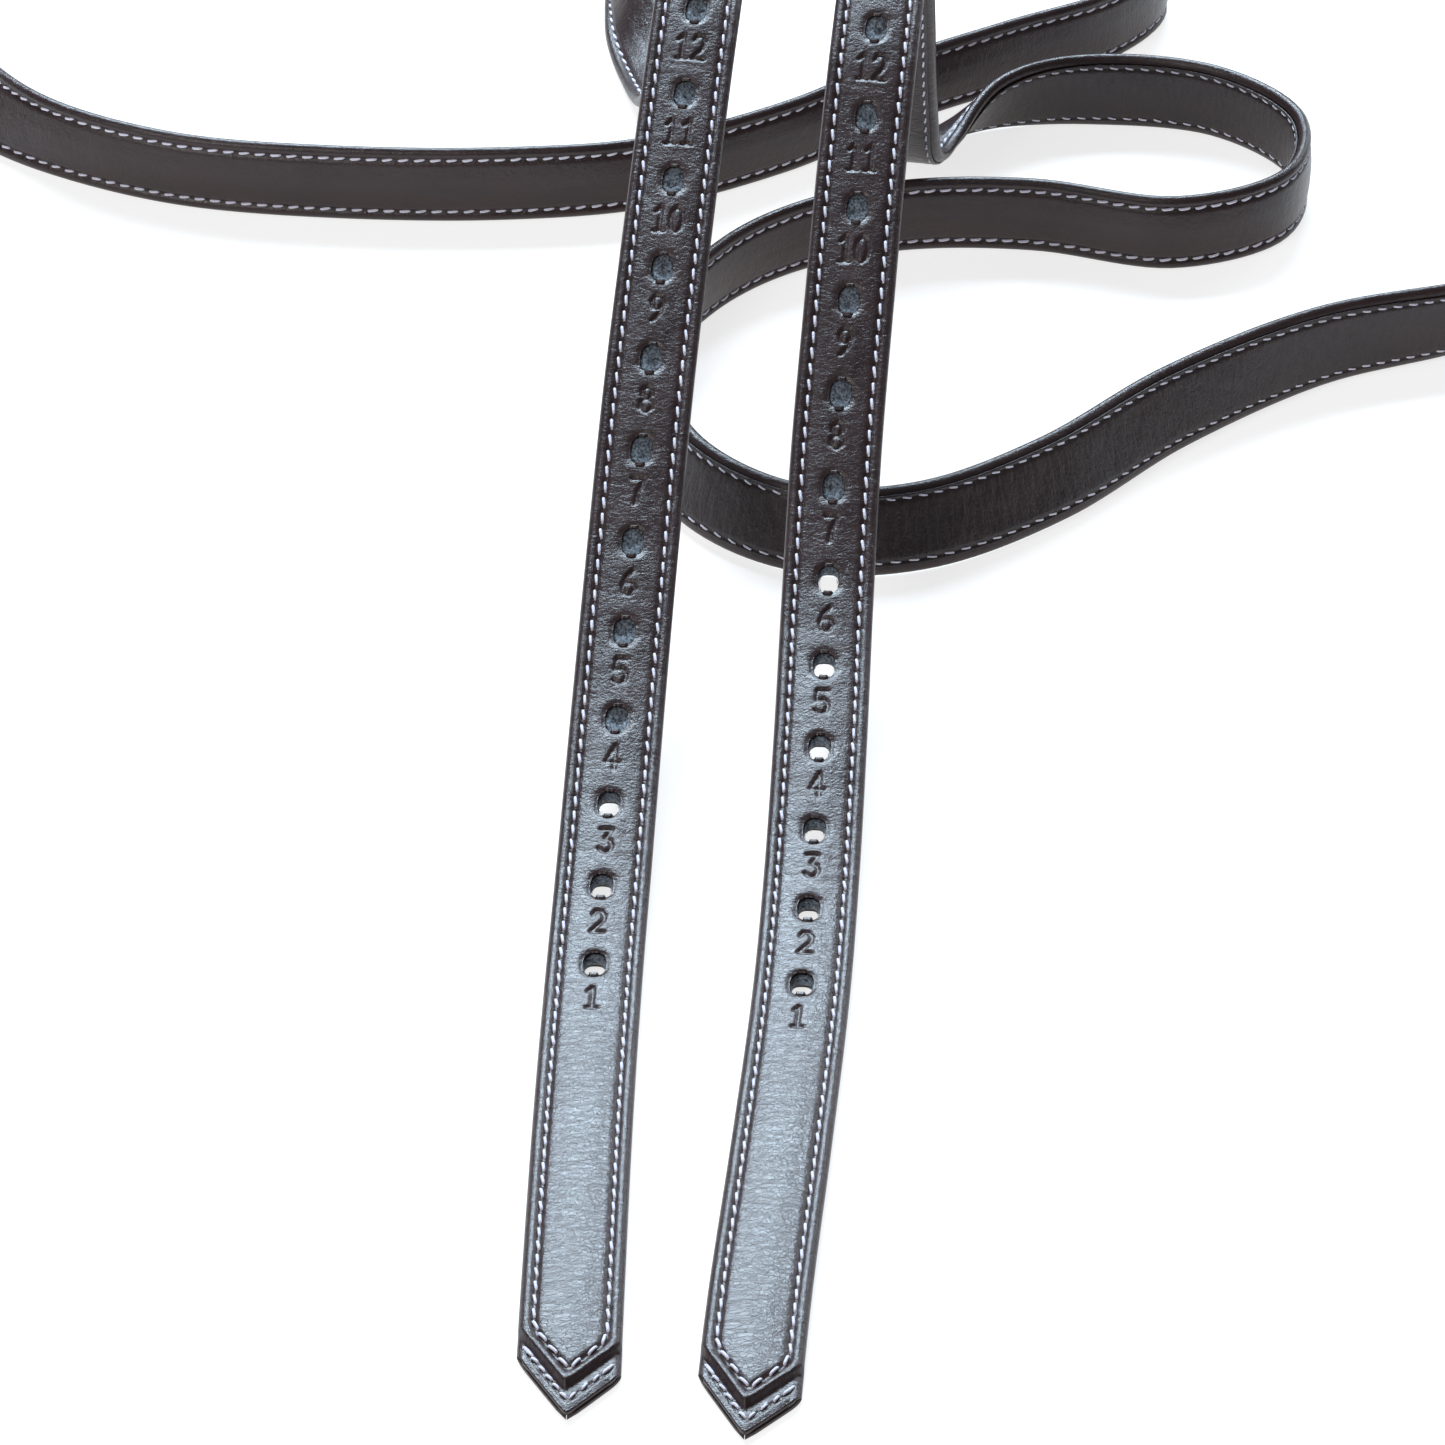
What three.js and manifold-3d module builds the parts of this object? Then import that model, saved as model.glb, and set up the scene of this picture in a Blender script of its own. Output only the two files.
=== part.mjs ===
// A pair of stirrup leathers, thrown down in a loose heap with both punched ends in front.
// Each leather is a rounded strap: a calf cover wrapped round a flat webbing core, closed on
// the back by a narrower lining, sewn along both edges and round its pointed tip, with twelve
// oval holes and a roller buckle held in a sewn chape. Millimetres, +Z up, floor at Z = 0.
import * as THREE from 'three';
import { mergeVertices } from 'three/addons/utils/BufferGeometryUtils.js';
import Module from 'manifold-3d';

const wasm = await Module();
wasm.setup();

// Strap
const strapWidth = 22;
const strapThickness = 4.6;
const halfWidth = strapWidth / 2;
const halfThickness = strapThickness / 2;
const coverThickness = 1.1;
const flangeThickness = 0.8;
const liningThickness = 0.8;
const liningHalfWidth = 7;
const coreHalfWidth = 9;
const coreTop = 0.9;
const coreBottom = -0.15;
const layerGap = 0.25;
const threadGap = 0.4;
const floorGap = 0.05;

// Pointed tip: how far each shoulder lies behind the apex
const leftShoulder = 18.5;
const rightShoulder = 12.5;

// Holes, counted from the tip
const holeCount = 12;
const firstHole = 145;
const holePitch = 25.4;
const holeWidth = 5.4;
const holeLength = 7.6;
const holeSegments = 2;
const punchReach = halfThickness + 2;
const pointReach = 14;

// Stitching
const rowInset = 3.2;
const threadWidth = 0.9;
const threadHeight = 0.5;
const innerPoint = 11.5;
const outerPoint = 3.4;
const outerRowX = 9.4;
const backThreadSink = 0.1;
// A row of stitches stops this far short of the chape
const chapeClearance = 2;
// The core and the lining end just inside the inner row
const layerPoint = innerPoint + 2.6;

// Buckle
const barRadius = 2.1;
const windowHalfWidth = 12.4;
const windowLength = 31;
const rollerRadius = 3.3;
const rollerHalfLength = 10.5;
const runningGap = 0.35;
const tongueWidth = 5;
const tongueThickness = 1.7;
const foldSegments = 8;
const chapeThickness = 1.6;
const chapeGap = 0.15;
const chapeHalfWidth = 10;
const chapeLength = 44;
const slotHalfWidth = 3.4;
const slotLength = 14;
const barBeyondStrap = 5.8;
const frameCorner = 5;
const frameSides = 10;
const roundSides = 20;
const eyeThickness = 1.4;
const chapeSeamInset = 2;
const chapeSeamNear = -slotLength - 6;
const chapeSeamFar = -chapeLength + 3;

// The heap's centre in the coordinates of the two routes
const heapCentre = [12.5, 358.75];

// Each row of a route: x, y, lift off the surface, roll. A roll of 0 lies flat with the cover up,
// 90 stands on its edge with the cover facing right of the way from tip to buckle.
const leftRoute = [
  [-32.2, 1, 0, 0], [-31.5, 45, 0, 0], [-30.5, 95, 0, 0], [-29, 142, 0.8, 0], [-27, 182, 6, 0],
  [-24.5, 225, 17, 0], [-21.5, 266, 33, 0], [-18, 305, 53, 0], [-13.5, 345, 74, 0], [-9, 383, 93, 0],
  [-5.5, 412, 106, 0], [-4, 438, 109, 0], [-4, 463, 92, 0], [-6, 483, 63, 0], [-9, 502, 32, 0],
  [-13, 524, 8, 0], [-18, 550, 0, 12], [-25, 580, 0, 45], [-26, 612, 0, 75], [-8, 640, 0, 90],
  [30, 652, 0, 90], [75, 645, 0, 90], [110, 623, 0, 90], [125, 592, 0, 90], [110, 566, 0, 90],
  [80, 548, 0, 90], [48, 528, 0, 90], [17, 503, 0, 90], [-20, 484, 0, 90], [-60, 478, 0, 88],
  [-105, 479, 0, 88], [-148, 486, 0, 88], [-185, 504, 0, 80], [-210, 532, 0, 48], [-221, 566, 0.6, 14],
  [-223, 600, 2, 0], [-223, 630, 2, 0], [-223, 658, 2, 0], [-223, 687, 2, 0],
];
const rightRoute = [
  [4.5, -5, 0, 0], [8, 38, 0, 0], [12.8, 86, 0, 0], [17.5, 136, 0.4, 0], [20.5, 178, 4, 0],
  [23, 220, 13, 0], [25, 258, 24, 0], [27.5, 295, 43, 0], [31, 330, 64, 0], [34.5, 363, 84, 0],
  [38, 392, 101, 0], [41, 418, 109, 0], [43, 440, 98, 0], [44.5, 456, 71, 0], [46, 470, 41, 0],
  [49, 486, 14, 0], [57, 504, 2, 25], [76, 521, 0, 68], [102, 528, 0, 90], [135, 522, 0, 90],
  [156, 498, 0, 90], [150, 467, 0, 90], [120, 453, 0, 90], [84, 462, 0, 90], [50, 462, 0, 92],
  [22, 452, 0, 94], [0, 433, 0, 95], [-15, 404, 0, 98], [-19, 369, 0, 104], [-8, 334, 0, 112],
  [18, 313, 0, 116], [50, 314, 0, 117], [83, 335, 0, 117], [116, 368, 0, 112], [155, 396, 0, 100],
  [197, 412, 0, 85], [230, 435, 0, 55], [245, 467, 0.8, 15], [248, 494, 2, 0], [248, 518, 2, 0],
  [248, 542, 2, 0], [248, 566, 2, 0],
];
// The punched end is nearly straight, so it needs a single step between its points
const straightPoints = 10;

const palette = {
  cover: { color: 0x3a2d30, roughness: 0.45, metalness: 0 },
  lining: { color: 0x33282b, roughness: 0.6, metalness: 0 },
  webbing: { color: 0x6d7683, roughness: 0.9, metalness: 0 },
  thread: { color: 0xcfcbe0, roughness: 0.8, metalness: 0 },
  steel: { color: 0xb9bcc0, roughness: 0.25, metalness: 1 },
};

// How high the strap's middle stands when it lies at this roll
function restHeight(roll) {
  const angle = THREE.MathUtils.degToRad(roll);
  return halfWidth * Math.abs(Math.sin(angle)) + halfThickness * Math.abs(Math.cos(angle)) + floorGap;
}

// A Catmull-Rom curve through four values, between the second and the third
function between(a, b, c, d, t) {
  const quadratic = 2 * a - 5 * b + 4 * c - d;
  const cubic = 3 * b - 3 * c + d - a;
  return 0.5 * (2 * b + (c - a) * t + quadratic * t * t + cubic * t * t * t);
}

// Stations along a route: place, distance from the tip, and the strap's own three directions
function layOut(route) {
  const rows = route.map(([x, y, lift, roll]) =>
    [x - heapCentre[0], y - heapCentre[1], lift + restHeight(roll), roll]);
  const mirrored = (end, next) => end.map((value, i) => 2 * value - next[i]);
  const padded = [mirrored(rows[0], rows[1]), ...rows, mirrored(rows.at(-1), rows.at(-2))];
  const values = [];
  for (let i = 1; i < padded.length - 2; i += 1) {
    const steps = i < straightPoints ? 1 : 2;
    for (let k = 0; k < steps; k += 1) {
      values.push([0, 1, 2, 3].map((axis) =>
        between(...padded.slice(i - 1, i + 3).map((row) => row[axis]), k / steps)));
    }
  }
  values.push(rows.at(-1));
  const places = values.map(([x, y, z]) => new THREE.Vector3(x, y, z));
  let distance = 0;
  return places.map((place, i) => {
    if (i > 0) {
      distance += place.distanceTo(places[i - 1]);
    }
    const before = places[Math.max(i - 1, 0)];
    const after = places[Math.min(i + 1, places.length - 1)];
    const along = after.clone().sub(before).normalize();
    const level = new THREE.Vector3(0, 0, 1).addScaledVector(along, -along.z).normalize();
    const roll = THREE.MathUtils.degToRad(values[i][3]);
    const out = level.clone().applyAxisAngle(along, -roll);
    return { place, distance, along, out, side: along.clone().cross(out) };
  });
}

// The strap's place and directions at any distance from the tip
function stationAt(stations, distance) {
  let i = 1;
  while (i < stations.length - 1 && stations[i].distance < distance) {
    i += 1;
  }
  const [a, b] = [stations[i - 1], stations[i]];
  const share = (distance - a.distance) / (b.distance - a.distance);
  const mix = (key) => a[key].clone().lerp(b[key], share);
  return { place: mix('place'), along: mix('along'), out: mix('out'), side: mix('side') };
}

function pointOn(stations, across, distance, height) {
  const { place, side, out } = stationAt(stations, distance);
  return place.addScaledVector(side, across).addScaledVector(out, height);
}

// A closed body through a list of rings of points, capped at both ends. Each four-cornered patch
// is split along its shorter diagonal, so that layers that twist together stay parallel.
function skin(rings, section) {
  const positions = rings.flat().flatMap((point) => point.toArray());
  const index = [];
  const count = section.length;
  for (let i = 0; i < rings.length - 1; i += 1) {
    for (let k = 0; k < count; k += 1) {
      const next = (k + 1) % count;
      const [a, b] = [i * count + k, i * count + next];
      const [c, d] = [a + count, b + count];
      const rising = rings[i][k].distanceTo(rings[i + 1][next]);
      const falling = rings[i][next].distanceTo(rings[i + 1][k]);
      index.push(...(rising < falling ? [a, d, b, a, c, d] : [a, c, b, b, c, d]));
    }
  }
  const last = (rings.length - 1) * count;
  for (const [a, b, c] of THREE.ShapeUtils.triangulateShape(section, [])) {
    index.push(a, b, c, last + a, last + c, last + b);
  }
  const geometry = new THREE.BufferGeometry();
  geometry.setAttribute('position', new THREE.Float32BufferAttribute(positions, 3));
  geometry.setIndex(index);
  return geometry;
}

// Sweeps a section, given as [across, height] points, along part of the strap
function sweep(stations, points, from, to) {
  const section = points.map(([across, height]) => new THREE.Vector2(across, height));
  const middle = stations.map((station) => station.distance).filter((s) => s > from + 1 && s < to - 1);
  const rings = [from, ...middle, to].map((s) =>
    section.map(({ x, y }) => pointOn(stations, x, s, y)));
  return skin(rings, section);
}

function toSolid(geometry) {
  const bare = geometry.clone();
  bare.deleteAttribute('normal');
  bare.deleteAttribute('uv');
  const merged = mergeVertices(bare, 1e-4);
  const body = new wasm.Mesh({
    numProp: 3,
    vertProperties: new Float32Array(merged.attributes.position.array),
    triVerts: new Uint32Array(merged.index.array),
  });
  return new wasm.Manifold(body);
}

function toGeometry(solid) {
  const body = solid.getMesh();
  const geometry = new THREE.BufferGeometry();
  geometry.setAttribute('position', new THREE.BufferAttribute(body.vertProperties, 3));
  geometry.setIndex(new THREE.BufferAttribute(body.triVerts, 1));
  return geometry;
}

// A prism with its outline in the strap's plane, standing through the strap
function punch(frame, shape, reach) {
  const options = { depth: 2 * reach, bevelEnabled: false, curveSegments: holeSegments };
  const geometry = new THREE.ExtrudeGeometry(shape, options);
  geometry.translate(0, 0, -reach);
  const { side, along, out, place } = frame;
  geometry.applyMatrix4(new THREE.Matrix4().makeBasis(side, along, out).setPosition(place));
  return toSolid(geometry);
}

function squareFrame(stations, distance) {
  const { place, along, out } = stationAt(stations, distance);
  along.normalize();
  out.addScaledVector(along, -out.dot(along)).normalize();
  return { place, along, out, side: along.clone().cross(out) };
}

function polygon(points) {
  return new THREE.Shape(points.map(([x, y]) => new THREE.Vector2(x, y)));
}

// An oval with straight sides, longer along the strap
function ovalShape() {
  const radius = holeWidth / 2;
  const reach = holeLength / 2 - radius;
  const shape = new THREE.Shape();
  shape.absarc(0, reach, radius, 0, Math.PI);
  shape.absarc(0, -reach, radius, Math.PI, 2 * Math.PI);
  return shape;
}

// Cuts the row of holes, and a point with its apex at this distance from the tip
function cutStrap(geometry, stations, apex) {
  const tip = squareFrame(stations, apex);
  const slopes = [-leftShoulder / halfWidth, rightShoulder / halfWidth];
  let solid = toSolid(geometry);
  for (const [i, sign] of [-1, 1].entries()) {
    const edge = Math.abs(slopes[i]) * pointReach;
    const corner = [[0, -pointReach], [sign * pointReach, -pointReach], [sign * pointReach, edge], [0, 0]];
    solid = solid.subtract(punch(tip, polygon(sign > 0 ? corner : corner.reverse()), pointReach));
  }
  for (let i = 0; i < holeCount; i += 1) {
    const frame = squareFrame(stations, firstHole + i * holePitch);
    solid = solid.subtract(punch(frame, ovalShape(), punchReach));
  }
  return toGeometry(solid);
}

// The cover's wrapped section: smooth face, rounded edges, and flanges that meet under the core
function coverSection() {
  const face = halfThickness;
  const flangeFace = -halfThickness + liningThickness + layerGap;
  const right = [
    [0, face], [halfWidth - 2.6, face], [halfWidth - 0.5, face - 0.8], [halfWidth, face - 2],
    [halfWidth - 1.2, flangeFace],
    [liningHalfWidth, flangeFace], [0.5, flangeFace],
    [0.5, flangeFace + flangeThickness], [coreHalfWidth + 0.3, flangeFace + flangeThickness],
    [coreHalfWidth + 0.3, face - coverThickness], [0, face - coverThickness],
  ];
  const left = right.slice(1, -1).map(([across, height]) => [-across, height]).reverse();
  return [...right, ...left].reverse();
}

// A flat layer's section, with points on its middle line
function layerSection(reach, bottom, top) {
  return [[-reach, bottom], [0, bottom], [reach, bottom], [reach, top], [0, top], [-reach, top]];
}

function cover(stations, end) {
  return cutStrap(sweep(stations, coverSection(), 0, end), stations, 0);
}

function core(stations, end) {
  const section = layerSection(coreHalfWidth, coreBottom, coreTop);
  return cutStrap(sweep(stations, section, layerPoint, end), stations, layerPoint);
}

function lining(stations, end) {
  const section = layerSection(liningHalfWidth, -halfThickness, -halfThickness + liningThickness);
  return cutStrap(sweep(stations, section, layerPoint, end), stations, layerPoint);
}

// A row of stitches stands as one low bead of this section
const beadSection = [
  new THREE.Vector2(-threadWidth / 2, 0),
  new THREE.Vector2(threadWidth / 2, 0),
  new THREE.Vector2(0, threadHeight),
];

// A bead of thread along [across, distance] points on one face of the strap
function thread(stations, points, height, facing) {
  const places = points.map(([across, distance]) => pointOn(stations, across, distance, height));
  const rings = places.map((place, i) => {
    const before = places[Math.max(i - 1, 0)];
    const after = places[Math.min(i + 1, places.length - 1)];
    const along = after.clone().sub(before).normalize();
    const up = stationAt(stations, points[i][1]).out.multiplyScalar(facing);
    const side = along.clone().cross(up).normalize();
    return beadSection.map(({ x, y }) =>
      place.clone().addScaledVector(side, x).addScaledVector(up, y));
  });
  return skin(rings, beadSection);
}

// Up one edge, round the point and back: the path of an edge row
function edgeRow(stations, end) {
  const row = halfWidth - rowInset;
  const leftTurn = innerPoint + row * leftShoulder / halfWidth;
  const rightTurn = innerPoint + row * rightShoulder / halfWidth;
  const places = stations.map((station) => station.distance);
  const left = places.filter((s) => s > leftTurn + 2 && s < end - 2).reverse().map((s) => [-row, s]);
  const right = places.filter((s) => s > rightTurn + 2 && s < end - 2).map((s) => [row, s]);
  return [[-row, end], ...left, [-row, leftTurn], [0, innerPoint], [row, rightTurn], ...right, [row, end]];
}

function tipThread(stations) {
  const leftEnd = outerPoint + outerRowX * leftShoulder / halfWidth;
  const rightEnd = outerPoint + outerRowX * rightShoulder / halfWidth;
  const points = [[-outerRowX, leftEnd], [0, outerPoint], [outerRowX, rightEnd]];
  return thread(stations, points, halfThickness + threadGap, 1);
}

// Buckle pieces are drawn with the heel bar along X through the origin and the strap arriving
// from -Y, then placed at the strap's end
function extrudeAcross(shape, halfLength) {
  const options = { depth: 2 * halfLength, bevelEnabled: false, curveSegments: foldSegments };
  const geometry = new THREE.ExtrudeGeometry(shape, options);
  geometry.translate(0, 0, -halfLength);
  geometry.applyMatrix4(new THREE.Matrix4().makeBasis(
    new THREE.Vector3(0, 1, 0), new THREE.Vector3(0, 0, 1), new THREE.Vector3(1, 0, 0)));
  return geometry;
}

function latheAcross(profile, sides, y) {
  const geometry = new THREE.LatheGeometry(profile.map(([r, x]) => new THREE.Vector2(r, x)), sides);
  geometry.rotateZ(-Math.PI / 2);
  geometry.translate(0, y, 0);
  return geometry;
}

// The folded chape: two flaps along the strap joined by a half turn round the heel bar
function chape() {
  const inner = halfThickness + chapeGap;
  const outer = inner + chapeThickness;
  const shape = new THREE.Shape();
  shape.moveTo(-chapeLength, -outer);
  shape.absarc(0, 0, outer, -Math.PI / 2, Math.PI / 2);
  shape.lineTo(-chapeLength, outer);
  shape.lineTo(-chapeLength, inner);
  shape.absarc(0, 0, inner, Math.PI / 2, -Math.PI / 2, true);
  shape.lineTo(-chapeLength, -inner);
  shape.closePath();
  const slot = new THREE.BoxGeometry(2 * slotHalfWidth, slotLength + 2 * outer, 4 * outer);
  slot.translate(0, outer - slotLength / 2, 0);
  return toGeometry(toSolid(extrudeAcross(shape, chapeHalfWidth)).subtract(toSolid(slot)));
}

function chapeThread() {
  const height = halfThickness + chapeGap + chapeThickness + layerGap;
  const edge = chapeHalfWidth - chapeSeamInset;
  const corners = [
    [-edge, chapeSeamNear], [-edge, chapeSeamFar], [edge, chapeSeamFar], [edge, chapeSeamNear],
  ];
  const points = corners.map(([x, y]) => new THREE.Vector3(x, y, height));
  const up = new THREE.Vector3(0, 0, 1);
  const rings = points.map((point, i) => {
    const before = points[Math.max(i - 1, 0)];
    const after = points[Math.min(i + 1, points.length - 1)];
    const side = after.clone().sub(before).normalize().cross(up);
    const spread = i === 0 || i === points.length - 1 ? 1 : Math.SQRT2;
    return beadSection.map(({ x, y }) =>
      point.clone().addScaledVector(side, x * spread).addScaledVector(up, y));
  });
  return skin(rings, beadSection);
}

// The frame: one round bar bent to a rectangle with rounded corners
function buckleFrame() {
  const sideX = windowHalfWidth + barRadius;
  const centres = [
    [sideX - frameCorner, frameCorner, -90], [sideX - frameCorner, windowLength - frameCorner, 0],
    [-sideX + frameCorner, windowLength - frameCorner, 90], [-sideX + frameCorner, frameCorner, 180],
  ];
  const bends = [0, 30, 60, 90];
  const path = centres.flatMap(([x, y, start]) => bends.map((turn) => {
    const angle = THREE.MathUtils.degToRad(start + turn);
    const outward = new THREE.Vector3(Math.cos(angle), Math.sin(angle), 0);
    return { centre: new THREE.Vector3(x, y, 0).addScaledVector(outward, frameCorner), outward };
  }));
  const positions = path.flatMap(({ centre, outward }) => Array.from({ length: frameSides }, (_, k) => {
    const angle = 2 * Math.PI * k / frameSides;
    const point = centre.clone().addScaledVector(outward, barRadius * Math.cos(angle));
    point.z += barRadius * Math.sin(angle);
    return point.toArray();
  })).flat();
  const index = path.flatMap((_, i) => Array.from({ length: frameSides }, (_unused, k) => {
    const [a, b] = [i * frameSides + k, i * frameSides + (k + 1) % frameSides];
    const next = ((i + 1) % path.length) * frameSides;
    const [c, d] = [next + k, next + (k + 1) % frameSides];
    return [a, d, b, a, c, d];
  })).flat();
  const geometry = new THREE.BufferGeometry();
  geometry.setAttribute('position', new THREE.Float32BufferAttribute(positions, 3));
  geometry.setIndex(index);
  return geometry;
}

function roller() {
  const inner = barRadius + runningGap;
  const profile = [
    [inner, -rollerHalfLength], [rollerRadius, -rollerHalfLength], [rollerRadius, rollerHalfLength],
    [inner, rollerHalfLength], [inner, -rollerHalfLength],
  ];
  return latheAcross(profile, roundSides, windowLength);
}

// The tongue: an eye round the heel bar and an arm that rests on the roller
function tongue() {
  const inner = barRadius + runningGap;
  const outer = inner + eyeThickness;
  const half = tongueWidth / 2;
  const ring = [[inner, -half], [outer, -half], [outer, half], [inner, half], [inner, -half]];
  const eye = latheAcross(ring, roundSides, 0);
  const restTop = rollerRadius + runningGap;
  const side = polygon([
    [1, inner + 0.3], [windowLength - 6, restTop], [windowLength + 3.5, restTop],
    [windowLength + 4.5, restTop + 0.7], [windowLength + 2.5, restTop + tongueThickness],
    [windowLength - 7, restTop + tongueThickness], [4, outer + 0.6], [0, outer - 0.1],
  ]);
  return toGeometry(toSolid(eye).add(toSolid(extrudeAcross(side, half))));
}

function addPiece(group, name, geometry, look) {
  geometry.computeVertexNormals();
  const mesh = new THREE.Mesh(geometry, new THREE.MeshStandardMaterial(palette[look]));
  mesh.name = name;
  group.add(mesh);
}

function leather(name, route) {
  const group = new THREE.Group();
  const stations = layOut(route);
  const end = stations.at(-1).distance - barBeyondStrap;
  const rowEnd = end - chapeLength - chapeClearance;
  const row = edgeRow(stations, rowEnd);
  addPiece(group, `${name}_front_cover`, cover(stations, end), 'cover');
  addPiece(group, `${name}_webbing_core`, core(stations, end), 'webbing');
  addPiece(group, `${name}_back_lining`, lining(stations, end), 'lining');
  const backLevel = -halfThickness + liningThickness - backThreadSink;
  addPiece(group, `${name}_edge_thread`, thread(stations, row, halfThickness + threadGap, 1), 'thread');
  addPiece(group, `${name}_back_thread`, thread(stations, row, backLevel, -1), 'thread');
  addPiece(group, `${name}_tip_thread`, tipThread(stations), 'thread');

  const buckle = new THREE.Group();
  const { side, along, out, place } = squareFrame(stations, stations.at(-1).distance);
  buckle.applyMatrix4(new THREE.Matrix4().makeBasis(side, along, out).setPosition(place));
  addPiece(buckle, `${name}_buckle_chape`, chape(), 'cover');
  addPiece(buckle, `${name}_chape_thread`, chapeThread(), 'thread');
  addPiece(buckle, `${name}_buckle_frame`, buckleFrame(), 'steel');
  addPiece(buckle, `${name}_buckle_tongue`, tongue(), 'steel');
  addPiece(buckle, `${name}_buckle_roller`, roller(), 'steel');
  group.add(buckle);
  return group;
}

const pair = new THREE.Group();
pair.add(leather('left', leftRoute), leather('right', rightRoute));

export default pair;
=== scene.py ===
"""A pair of stirrup leathers in a loose heap, seen from above their two punched ends.

Each leather is drawn flat first, as (across, distance from the tip, height) on the strap, and then
laid along its route. Everything is in metres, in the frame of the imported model.
"""

import math

import bpy
import numpy as np
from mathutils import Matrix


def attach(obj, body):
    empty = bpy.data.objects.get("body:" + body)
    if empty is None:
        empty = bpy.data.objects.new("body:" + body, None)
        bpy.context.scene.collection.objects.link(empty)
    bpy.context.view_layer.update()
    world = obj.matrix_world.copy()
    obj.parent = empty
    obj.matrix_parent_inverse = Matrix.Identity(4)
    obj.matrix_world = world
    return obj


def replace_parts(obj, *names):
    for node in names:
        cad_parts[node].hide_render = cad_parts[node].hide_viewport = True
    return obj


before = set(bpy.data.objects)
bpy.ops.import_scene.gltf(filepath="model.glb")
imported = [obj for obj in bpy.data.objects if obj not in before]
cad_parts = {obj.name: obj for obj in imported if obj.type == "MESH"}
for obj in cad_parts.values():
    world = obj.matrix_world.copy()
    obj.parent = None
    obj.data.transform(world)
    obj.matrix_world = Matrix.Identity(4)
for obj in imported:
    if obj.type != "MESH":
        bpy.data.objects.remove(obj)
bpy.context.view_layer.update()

MM = 0.001

# Strap
HALF_WIDTH = 11 * MM
HALF_THICKNESS = 2.3 * MM
FLOOR_GAP = 0.05 * MM
COVER_THICKNESS = 1.0 * MM
FLANGE_LEVEL = -1.35 * MM
FLANGE_EDGE = 4.2 * MM
CLOSED_FLANGE = 0.1 * MM
LINING_HALF_WIDTH = 8.8 * MM
LINING_ROUNDING_START = 8.45 * MM
LINING_TOP = -1.5 * MM
CORE_HALF_WIDTH = 8.4 * MM
CORE_TOP = 0.95 * MM
CORE_BOTTOM = -0.3 * MM
BAR_BEYOND_STRAP = 5.8 * MM

# Rolled rim: where its round starts, how far out it reaches, and its top
RIM_START = 8.8 * MM
RIM_REACH = HALF_WIDTH - RIM_START
RIM_TOP = 2.12 * MM
RIM_STEPS = 10

# Pointed tip
LEFT_SHOULDER = 18.5 * MM
RIGHT_SHOULDER = 12.5 * MM
BLUNTING = 0.6 * MM
INNER_POINT = 11.5 * MM
OUTER_POINT = 3.4 * MM
OUTER_ROW = 9.4 * MM
HEM_FACE = 0.35 * MM
HEM_BACK = -2.25 * MM

# Holes and numbers
HOLE_COUNT = 12
FIRST_HOLE = 145 * MM
HOLE_PITCH = 25.4 * MM
HOLE_HALF = (2.7 * MM, 3.8 * MM)
HOLE_CELL = (0.4 * MM, 0.52 * MM)
HOLE_CELLS = 11
CUT_CELLS = 6
NUMBER_BEFORE_HOLE = 11.5 * MM
DIGIT_SIZE = (3.0 * MM, 7.0 * MM)
DIGIT_GAP = 1.2 * MM
DIGIT_DEPTH = 0.55 * MM

# Torn fibres in the holes
EDGE_FIBRES = 60
FELT_FIBRES = 110
FIBRE_RADIUS = 0.08 * MM
FELT_CELLS = 6

# Stitching
ROW = 7.8 * MM
STITCH_PITCH = 4.3 * MM
STITCH_LENGTH = 3.1 * MM
THREAD_RADIUS = 0.38 * MM
CORNER_CUT = 1.9 * MM
STITCH_RINGS = 9
THREAD_SIDES = 8

# Buckle, as in the CAD model
BAR_RADIUS = 2.1 * MM
WINDOW_HALF_WIDTH = 12.4 * MM
WINDOW_LENGTH = 31 * MM
BEND_RADIUS = 5 * MM
ROLLER_RADIUS = 3.3 * MM
ROLLER_HALF_LENGTH = 10.5 * MM
RUNNING_GAP = 0.35 * MM
TONGUE_WIDTH = 5 * MM
TONGUE_THICKNESS = 1.7 * MM
CHAPE_INNER = 2.45 * MM
CHAPE_THICKNESS = 1.6 * MM
CHAPE_HALF_WIDTH = 10 * MM
CHAPE_LENGTH = 44 * MM
CHAPE_SEAM = CHAPE_HALF_WIDTH - 2 * MM
CHAPE_SEAM_END = 3 * MM
CHAPE_CORNER = 3 * MM
CHAPE_PITCH = 3.6 * MM
CHAPE_STITCH_LENGTH = 2.7 * MM
SLOT_HALF_WIDTH = 3.4 * MM
SLOT_LENGTH = 14 * MM

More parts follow.
